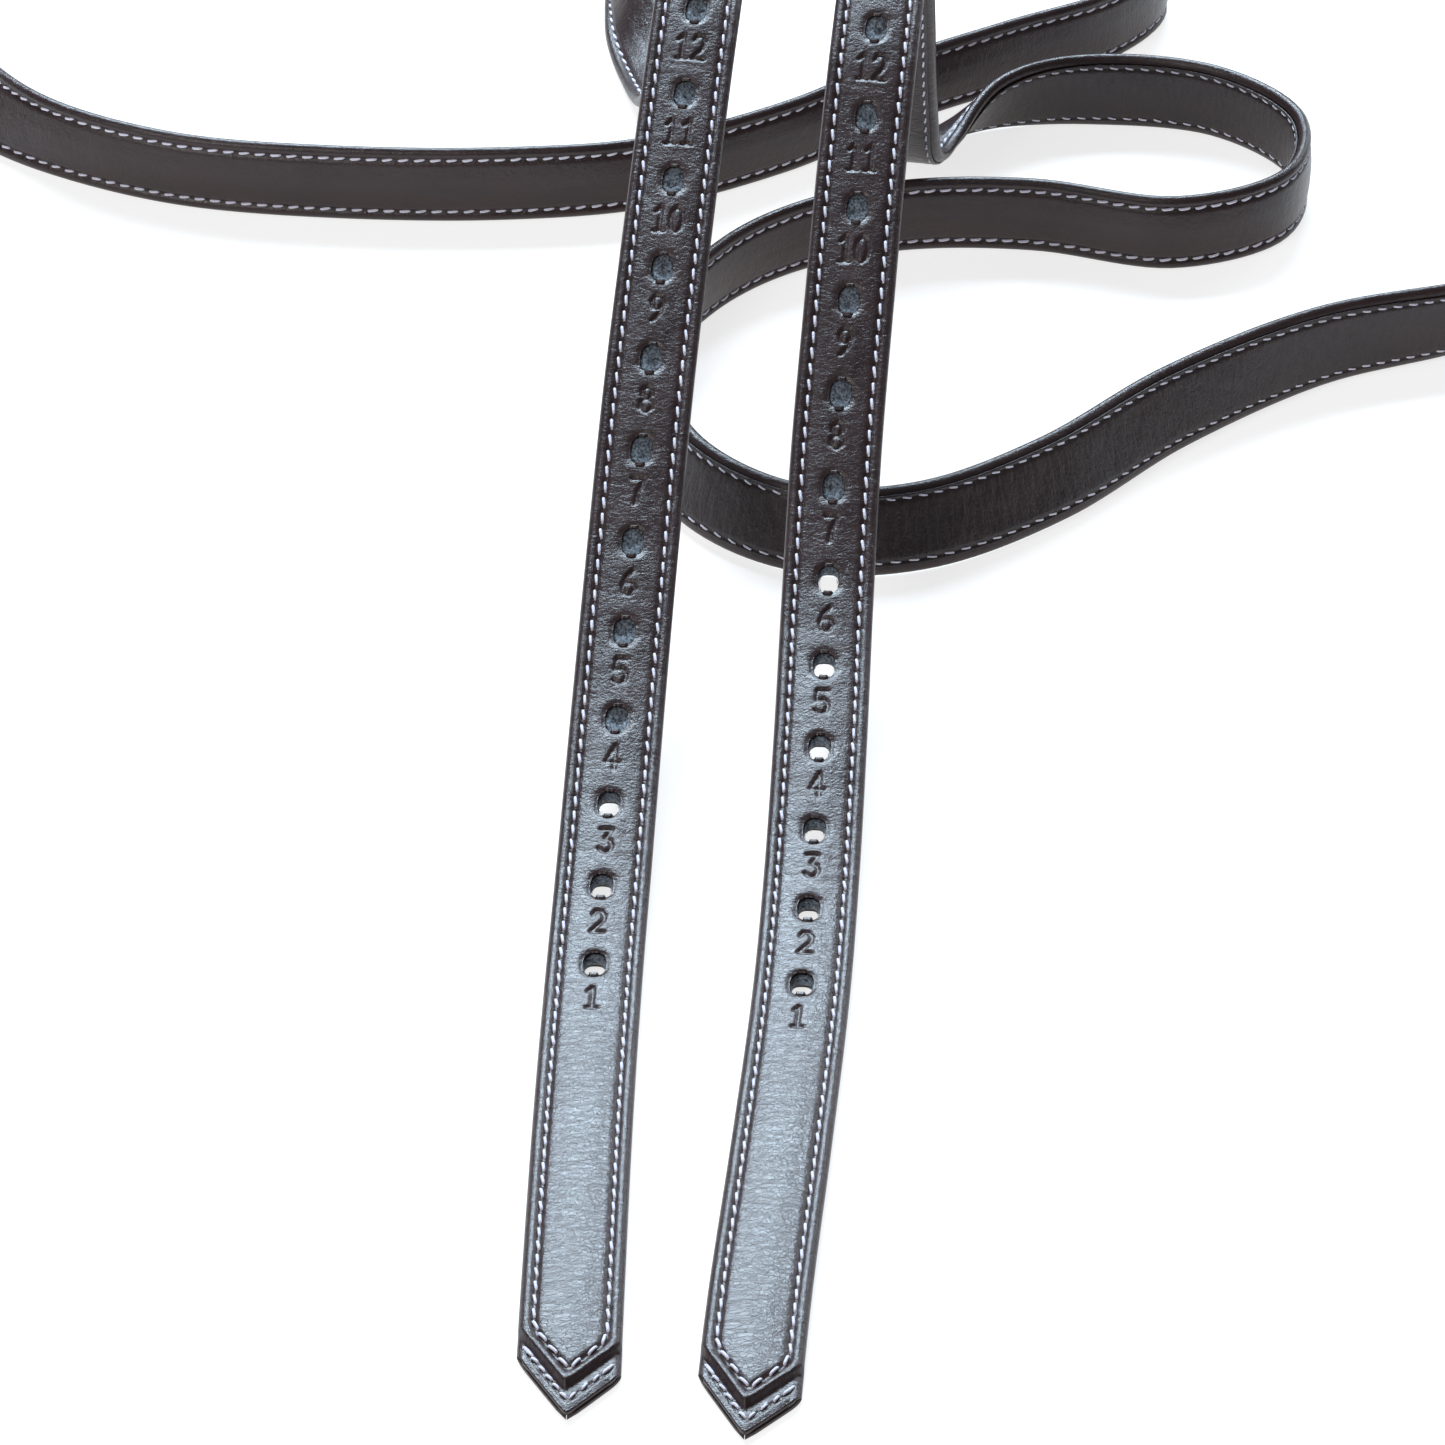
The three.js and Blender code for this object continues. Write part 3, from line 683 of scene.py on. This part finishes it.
def build_seam(strap, name, spots, face, facing, material, rng, length, radius):
    """All stitches of one seam as one piece, on the face or, with facing -1, on the back."""
    bodies = [stitch(strap, m, d, face, facing, rng, length, radius) for m, d in spots]
    points, faces = join(bodies)
    return make_object(name, points, faces, material, name.split("_")[0] + "_leather",
                       stitch_uv(len(spots)))


# Buckles, drawn with the heel bar along X through the origin and the strap arriving from -Y


def at_buckle(strap, points):
    """Points of the buckle's own drawing, placed at the strap's end."""
    axes = np.stack([strap["side"][-1], strap["along"][-1], strap["out"][-1]])
    return np.asarray(points) @ axes + strap["place"][-1]


def chape_line(travel, height):
    """Places along the fold of the chape: the front flap, the half turn round the bar, the back flap."""
    flap = CHAPE_LENGTH
    bend = math.pi * height
    forward = np.clip(travel, 0, flap)
    turn = np.clip(travel - flap, 0, bend) / height
    backward = np.clip(travel - flap - bend, 0, flap)
    y = forward - flap + height * np.sin(turn) - backward
    z = height * np.cos(turn)
    return y, z


def build_chape(strap, name, material):
    """The folded leather that holds the heel bar, slotted for the tongue."""
    middle = CHAPE_INNER + CHAPE_THICKNESS / 2
    bend = math.pi * middle
    slot_rows = CHAPE_LENGTH - SLOT_LENGTH, CHAPE_LENGTH + bend + SLOT_LENGTH
    travel = np.unique(np.concatenate([
        np.linspace(0, slot_rows[0], 22),
        np.linspace(slot_rows[0], slot_rows[1], 45),
        np.linspace(slot_rows[1], 2 * CHAPE_LENGTH + bend, 22),
    ]).round(8))
    half = np.concatenate([np.linspace(0, SLOT_HALF_WIDTH, 5), np.linspace(4.2 * MM, CHAPE_HALF_WIDTH, 9)])
    columns = np.array([*mirrored(half[1:]), *half])
    across, along = np.meshgrid(columns, travel)
    # The slot is left out of the grid
    centre = (travel[:-1] + travel[1:]) / 2
    inside = (centre > slot_rows[0]) & (centre < slot_rows[1])
    keep = np.ones((len(travel) - 1, len(columns) - 1), bool)
    slot_columns = np.abs((columns[:-1] + columns[1:]) / 2) < SLOT_HALF_WIDTH
    keep[np.ix_(inside, slot_columns)] = False
    ends = np.minimum(along, 2 * CHAPE_LENGTH + bend - along)
    # The flaps' corners are rounded
    pull = np.maximum(CHAPE_CORNER - ends, 0)
    narrower = CHAPE_CORNER - np.sqrt(np.maximum(CHAPE_CORNER**2 - pull**2, 0))
    across = across * (1 - narrower / CHAPE_HALF_WIDTH)
    seam = np.maximum(np.abs(across) - CHAPE_SEAM, CHAPE_SEAM_END - ends)
    sunk = 0.3 * MM * lobe(seam, 0.6 * MM) * (np.abs(along - CHAPE_LENGTH - bend / 2) > bend / 2 + 15 * MM)
    edge = 0.45 * MM * ease(np.abs(across), CHAPE_HALF_WIDTH - 0.7 * MM, CHAPE_HALF_WIDTH)
    faces_at = []
    for level, press in ((CHAPE_THICKNESS / 2, sunk + edge), (-CHAPE_THICKNESS / 2, edge * 0)):
        y, z = chape_line(along, middle)
        turn = np.clip(along - CHAPE_LENGTH, 0, bend) / middle
        offset = level - press
        points = np.stack([across, y + np.sin(turn) * offset, z + np.cos(turn) * offset], axis=-1)
        faces_at.append(at_buckle(strap, points))
    points, faces = slab(faces_at[0], faces_at[1], keep)
    flat = np.stack([across, along], axis=-1).reshape(-1, 2)
    chape = make_object(f"{name}_chape", points, faces, material, f"{name}_leather",
                        np.concatenate([flat, flat]))
    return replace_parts(chape, f"{name}_buckle_chape")


def build_chape_stitches(strap, name, material, rng):
    """A U of stitches on each flap of the chape."""
    near = -SLOT_LENGTH - 6 * MM
    far = -CHAPE_LENGTH + CHAPE_SEAM_END
    path = np.array([[-CHAPE_SEAM, near], [-CHAPE_SEAM, far], [CHAPE_SEAM, far], [CHAPE_SEAM, near]])
    bodies = []
    for facing in (1, -1):
        level = CHAPE_INNER + CHAPE_THICKNESS - 0.3 * MM
        for middle, direction in stitch_spots(path, CHAPE_PITCH):
            t = np.linspace(-1, 1, STITCH_RINGS)
            spots = middle + direction * (t * CHAPE_STITCH_LENGTH / 2)[:, None]
            height = facing * (level + 0.3 * MM * (1 - t**4) - 0.5 * MM * t**6)
            line = at_buckle(strap, np.column_stack([spots, height]))
            radii = THREAD_RADIUS * (1 - 0.35 * t**6) * rng.uniform(0.95, 1.03)
            bodies.append(loft(tube_rings(line, radii, THREAD_SIDES)))
    points, faces = join(bodies)
    stitches = make_object(f"{name}_chape_stitches", points, faces, material, f"{name}_leather",
                           stitch_uv(len(bodies)))
    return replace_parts(stitches, f"{name}_chape_thread")


def build_ring(strap, name, material):
    """The buckle's frame: one round bar bent to a rectangle with rounded corners."""
    side = WINDOW_HALF_WIDTH + BAR_RADIUS
    corners = [
        (side - BEND_RADIUS, BEND_RADIUS, -90), (side - BEND_RADIUS, WINDOW_LENGTH - BEND_RADIUS, 0),
        (-side + BEND_RADIUS, WINDOW_LENGTH - BEND_RADIUS, 90), (-side + BEND_RADIUS, BEND_RADIUS, 180),
    ]
    section = 2 * math.pi * np.arange(28) / 28
    rings = []
    for x, y, start in corners:
        for turn in np.linspace(0, 90, 13):
            angle = math.radians(start + turn)
            outward = np.array([math.cos(angle), math.sin(angle), 0])
            centre = np.array([x, y, 0]) + outward * BEND_RADIUS
            rings.append(centre + BAR_RADIUS * np.outer(np.cos(section), outward)
                         + BAR_RADIUS * np.outer(np.sin(section), [0, 0, 1]))
    points, faces = loft(np.array(rings), closed=True)
    ring = make_object(f"{name}_ring", at_buckle(strap, points), faces, material, f"{name}_frame")
    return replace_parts(ring, f"{name}_buckle_frame")


def turned(profile, sides, y):
    """A ring turned round an axis along X at this y, from a closed profile of (radius, x)."""
    turn = 2 * math.pi * np.arange(sides) / sides
    rings = np.array([
        [[x, y + radius * math.cos(a), radius * math.sin(a)] for radius, x in profile] for a in turn
    ])
    return loft(rings[:, ::-1], closed=True)


def build_roller(strap, name, material):
    """The steel roller, with eased ends and a slightly crowned barrel."""
    inner = BAR_RADIUS + RUNNING_GAP
    outer, half = ROLLER_RADIUS, ROLLER_HALF_LENGTH
    chamfer = 0.3 * MM
    crown = [(outer - 0.06 * MM * abs(k) ** 3, k * (half - chamfer)) for k in np.linspace(-1, 1, 15)]
    profile = [
        (inner, -half + chamfer), (inner + chamfer, -half), (outer - chamfer, -half), *crown,
        (outer - chamfer, half), (inner + chamfer, half), (inner, half - chamfer),
    ]
    points, faces = turned(profile, 48, WINDOW_LENGTH)
    roller = make_object(f"{name}_bar_roller", at_buckle(strap, points), faces, material,
                         f"{name}_roller")
    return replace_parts(roller, f"{name}_buckle_roller")


def build_tongue(strap, name, material):
    """The tongue: an eye wrapped round the heel bar, and an arm with a rounded tip on the roller."""
    inner = BAR_RADIUS + RUNNING_GAP
    outer = inner + 1.4 * MM
    half = TONGUE_WIDTH / 2
    ease_edge = 0.35 * MM
    eye = turned([
        (inner, -half + ease_edge), (inner + ease_edge, -half), (outer - ease_edge, -half),
        (outer, -half + ease_edge), (outer, half - ease_edge), (outer - ease_edge, half),
        (inner + ease_edge, half), (inner, half - ease_edge),
    ], 40, 0)
    rest = ROLLER_RADIUS + RUNNING_GAP + TONGUE_THICKNESS / 2
    stations = [
        (-0.3 * MM, inner + 0.75 * MM, 0.95, 0.6), (2.5 * MM, inner + 0.95 * MM, 0.97, 0.8),
        (6 * MM, inner + 1.3 * MM, 0.96, 0.95), (14 * MM, rest - 0.35 * MM, 0.86, 1),
        (22 * MM, rest - 0.05 * MM, 0.76, 1), (28 * MM, rest, 0.7, 1), (32 * MM, rest, 0.68, 0.98),
        (34 * MM, rest + 0.05 * MM, 0.62, 0.9), (35 * MM, rest + 0.1 * MM, 0.48, 0.72),
        (35.4 * MM, rest + 0.12 * MM, 0.25, 0.4),
    ]
    turn = 2 * math.pi * np.arange(20) / 20
    round_x = np.sign(np.cos(turn)) * abs(np.cos(turn)) ** 0.7
    round_z = np.sign(np.sin(turn)) * abs(np.sin(turn)) ** 0.7
    rings = np.array([
        np.column_stack([
            half * width * round_x, np.full(20, y), z + TONGUE_THICKNESS / 2 * thickness * round_z,
        ])
        for y, z, width, thickness in stations
    ])
    points, faces = join([eye, loft(rings[:, ::-1])])
    tongue = make_object(f"{name}_pin", at_buckle(strap, points), faces, material, f"{name}_tongue")
    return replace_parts(tongue, f"{name}_buckle_tongue")


# Materials


def new_material(name, roughness, **sockets):
    """A material with its Principled shader's fixed values set on the sockets."""
    material = bpy.data.materials.new(name)
    material.use_nodes = True
    shader = material.node_tree.nodes["Principled BSDF"]
    shader.inputs["Roughness"].default_value = roughness
    for socket, value in sockets.items():
        shader.inputs[socket.replace("_", " ")].default_value = value
    return material, material.node_tree, shader


def add_node(tree, kind, **values):
    """A node, with its attributes and its inputs' values set by name."""
    node = tree.nodes.new(kind)
    for key, value in values.items():
        if hasattr(node, key) and key not in node.inputs:
            setattr(node, key, value)
        else:
            node.inputs[key].default_value = value
    return node


def stretched(tree, scale, source="strap"):
    """The strap's own coordinates, in metres across and along it, scaled."""
    uv = add_node(tree, "ShaderNodeUVMap", uv_map=source)
    mapping = add_node(tree, "ShaderNodeMapping", Scale=scale)
    tree.links.new(uv.outputs["UV"], mapping.inputs["Vector"])
    return mapping.outputs["Vector"]


def ramp(tree, source, low, high, first, last):
    """A colour that runs from first at low to last at high."""
    node = add_node(tree, "ShaderNodeValToRGB")
    node.color_ramp.elements[0].position = low
    node.color_ramp.elements[1].position = high
    node.color_ramp.elements[0].color = (*first, 1)
    node.color_ramp.elements[1].color = (*last, 1)
    tree.links.new(source, node.inputs["Fac"])
    return node.outputs["Color"]


def scaled(tree, source, low, high):
    """A value from 0 to 1, brought to run from low to high."""
    node = add_node(tree, "ShaderNodeMapRange", clamp=True)
    node.inputs["To Min"].default_value = low
    node.inputs["To Max"].default_value = high
    tree.links.new(source, node.inputs["Value"])
    return node.outputs["Result"]


def bump(tree, height, distance, strength, below=None):
    node = add_node(tree, "ShaderNodeBump", Distance=distance, Strength=strength)
    tree.links.new(height, node.inputs["Height"])
    if below is not None:
        tree.links.new(below, node.inputs["Normal"])
    return node.outputs["Normal"]


def leather_material(name, dark, light, crease, fold_scale):
    """Calf with a fine grain of small cells, creases across the strap, and uneven dye and gloss."""
    material, tree, shader = new_material(name, 0.42, Specular_IOR_Level=0.45)
    clouds = add_node(tree, "ShaderNodeTexNoise", Scale=1, Detail=4, Roughness=0.6)
    tree.links.new(stretched(tree, (120, 40, 1)), clouds.inputs["Vector"])
    tree.links.new(ramp(tree, clouds.outputs["Fac"], 0.3, 0.7, dark, light), shader.inputs["Base Color"])
    tree.links.new(scaled(tree, clouds.outputs["Fac"], 0.27, 0.4), shader.inputs["Roughness"])

    warp = add_node(tree, "ShaderNodeTexNoise", Scale=1, Detail=3)
    tree.links.new(stretched(tree, (700, 500, 1)), warp.inputs["Vector"])
    pull = add_node(tree, "ShaderNodeMix", data_type="VECTOR")
    pull.inputs["Factor"].default_value = 0.35
    tree.links.new(stretched(tree, (1150, 1500, 1)), pull.inputs[4])
    tree.links.new(warp.outputs["Color"], pull.inputs[5])
    cells = add_node(tree, "ShaderNodeTexVoronoi", feature="DISTANCE_TO_EDGE", Scale=1)
    tree.links.new(pull.outputs[1], cells.inputs["Vector"])
    dents = add_node(tree, "ShaderNodeMath", operation="POWER", use_clamp=True)
    dents.inputs[1].default_value = 0.4
    tree.links.new(cells.outputs["Distance"], dents.inputs[0])
    grain = bump(tree, dents.outputs[0], 0.1 * MM, 0.65)

    folds = add_node(tree, "ShaderNodeTexNoise", Scale=1, Detail=5, Roughness=0.65, Distortion=0.8)
    tree.links.new(stretched(tree, fold_scale), folds.inputs["Vector"])
    fine = bump(tree, folds.outputs["Fac"], 0.5 * MM * crease, 0.8, grain)
    swell = add_node(tree, "ShaderNodeTexNoise", Scale=1, Detail=2)
    tree.links.new(stretched(tree, (70, 90, 1)), swell.inputs["Vector"])
    tree.links.new(bump(tree, swell.outputs["Fac"], 1.2 * MM, 0.35, fine), shader.inputs["Normal"])
    return material


def thread_material():
    """Pale thread with a lilac cast, its plies twisted round it, with painted shade in the grooves between
    them.
    """
    material, tree, shader = new_material("thread", 0.7, Sheen_Weight=0.15)
    plies = add_node(tree, "ShaderNodeTexWave", wave_type="BANDS", bands_direction="DIAGONAL", Scale=1.1)
    tree.links.new(stretched(tree, (3, 5, 1)), plies.inputs["Vector"])
    # The colour is darker where the plies' bump is low: painted shade in the grooves between the plies.
    tint = ramp(tree, plies.outputs["Fac"], 0.1, 0.7, (0.46, 0.45, 0.55), (0.8, 0.79, 0.9))
    tree.links.new(tint, shader.inputs["Base Color"])
    tree.links.new(bump(tree, plies.outputs["Fac"], 0.12 * MM, 0.5), shader.inputs["Normal"])
    return material


def webbing_material():
    """Grey-blue nylon, uneven from fibre to fibre."""
    material, tree, shader = new_material("webbing", 0.8, Sheen_Weight=0.2)
    place = add_node(tree, "ShaderNodeTexCoord")
    speckle = add_node(tree, "ShaderNodeTexNoise", Scale=1600, Detail=3)
    tree.links.new(place.outputs["Object"], speckle.inputs["Vector"])
    tint = ramp(tree, speckle.outputs["Fac"], 0.35, 0.7, (0.014, 0.018, 0.026), (0.24, 0.29, 0.35))
    tree.links.new(tint, shader.inputs["Base Color"])
    tree.links.new(bump(tree, speckle.outputs["Fac"], 0.25 * MM, 0.8), shader.inputs["Normal"])
    return material


def steel_material():
    """Polished stainless steel with fine rubbing marks."""
    material, tree, shader = new_material("stainless", 0.2, Metallic=1.0)
    place = add_node(tree, "ShaderNodeTexCoord")
    mapping = add_node(tree, "ShaderNodeMapping", Scale=(300, 2500, 2500))
    tree.links.new(place.outputs["Object"], mapping.inputs["Vector"])
    marks = add_node(tree, "ShaderNodeTexNoise", Scale=1, Detail=4)
    tree.links.new(mapping.outputs["Vector"], marks.inputs["Vector"])
    tint = ramp(tree, marks.outputs["Fac"], 0.3, 0.7, (0.3, 0.3, 0.31), (0.43, 0.43, 0.44))
    tree.links.new(tint, shader.inputs["Base Color"])
    tree.links.new(scaled(tree, marks.outputs["Fac"], 0.14, 0.3), shader.inputs["Roughness"])
    tree.links.new(bump(tree, marks.outputs["Fac"], 0.02 * MM, 0.3), shader.inputs["Normal"])
    return material


def floor_material():
    """Even pale ground that gives off light of its own, so that it shows bright through the open holes."""
    material, tree, shader = new_material("floor", 0.9, Emission_Strength=0.75)
    shader.inputs["Emission Color"].default_value = (1, 1, 1, 1)
    grain = add_node(tree, "ShaderNodeTexNoise", Scale=3, Detail=2)
    tint = ramp(tree, grain.outputs["Fac"], 0.3, 0.7, (0.34, 0.34, 0.34), (0.36, 0.36, 0.36))
    tree.links.new(tint, shader.inputs["Base Color"])
    return material


# Camera, floor and light


def build_camera():
    camera = bpy.data.cameras.new("camera")
    camera.lens = 149.5
    camera.clip_end = 20
    obj = bpy.data.objects.new("camera", camera)
    obj.location = (-0.0125, -1.27464, 0.84409)
    obj.rotation_euler = (math.radians(54), 0, 0)
    bpy.context.scene.collection.objects.link(obj)
    bpy.context.scene.camera = obj


def build_floor():
    mesh = bpy.data.meshes.new("floor")
    mesh.from_pydata([(-8, -8, 0), (8, -8, 0), (8, 8, 0), (-8, 8, 0)], [], [(0, 1, 2, 3)])
    mesh.materials.append(floor_material())
    floor = bpy.data.objects.new("floor", mesh)
    bpy.context.scene.collection.objects.link(floor)


def add_light(name, place, target, size, power, colour):
    light = bpy.data.lights.new(name, "AREA")
    light.shape = "RECTANGLE"
    light.size, light.size_y = size
    light.energy = power
    light.color = colour
    obj = bpy.data.objects.new(name, light)
    obj.location = place
    away = np.subtract(place, target)
    obj.rotation_euler = (math.atan2(math.hypot(away[0], away[1]), away[2]), 0,
                          math.atan2(away[0], -away[1]))
    bpy.context.scene.collection.objects.link(obj)


def build_light():
    world = bpy.data.worlds.new("surroundings")
    bpy.context.scene.world = world
    world.use_nodes = True
    background = world.node_tree.nodes["Background"]
    background.inputs["Color"].default_value = (0.95, 0.97, 1, 1)
    background.inputs["Strength"].default_value = 0.2
    # A broad window behind the heap gives the flat ends their silvery sheen
    add_light("window", (-0.3, 2.1, 2.3), (0, -0.3, 0), (2.2, 0.9), 240, (0.7, 0.86, 1))
    add_light("side", (2.0, 2.3, 1.1), (0, 0, 0), (1.0, 0.8), 20, (0.82, 0.92, 1))
    add_light("fill", (-1.6, -2.0, 2.0), (0, 0, 0), (1.4, 1.4), 45, (1, 0.98, 0.97))
    bpy.context.scene.view_settings.view_transform = "Standard"


def build_leather(name, route, clear_holes, materials, rng):
    """One stirrup leather: its cover first, then everything that goes with it."""
    strap = lay_out(route)
    cover = build_cover(strap, name, materials["cover"])
    edge = stitch_spots(edge_path(strap), STITCH_PITCH)
    tip = back_stitched(stitch_spots(tip_path(), STITCH_PITCH * 0.75))
    front = build_seam(strap, f"{name}_edge_stitches", edge, face_height, 1, materials["thread"], rng,
                       STITCH_LENGTH, THREAD_RADIUS)
    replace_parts(front, f"{name}_edge_thread")
    back = build_seam(strap, f"{name}_back_stitches", edge, lining_height, -1, materials["thread"], rng,
                      STITCH_LENGTH * 0.85, THREAD_RADIUS * 0.7)
    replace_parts(back, f"{name}_back_thread")
    point = build_seam(strap, f"{name}_tip_stitches", tip, face_height, 1, materials["thread"], rng,
                       STITCH_LENGTH * 0.72, THREAD_RADIUS * 0.9)
    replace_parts(point, f"{name}_tip_thread")
    others = [
        front, back, point,
        build_lining(strap, name, materials["lining"]),
        build_core(strap, name, clear_holes, materials["webbing"], rng),
        build_chape(strap, name, materials["cover"]),
        build_chape_stitches(strap, name, materials["thread"], rng),
        build_ring(strap, name, materials["steel"]),
        build_tongue(strap, name, materials["steel"]),
        build_roller(strap, name, materials["steel"]),
    ]


build_camera()
looks = {
    "cover": leather_material("calf_cover", (0.016, 0.0072, 0.0080), (0.028, 0.0125, 0.0130), 0.5,
                              (430, 560, 1)),
    "lining": leather_material("calf_lining", (0.013, 0.0068, 0.0076), (0.022, 0.0115, 0.0125), 1.0,
                               (170, 640, 1)),
    "webbing": webbing_material(),
    "thread": thread_material(),
    "steel": steel_material(),
}
draws = np.random.default_rng(7)
build_leather("left", LEFT_ROUTE, 3, looks, draws)
build_leather("right", RIGHT_ROUTE, 6, looks, draws)
build_floor()
build_light()
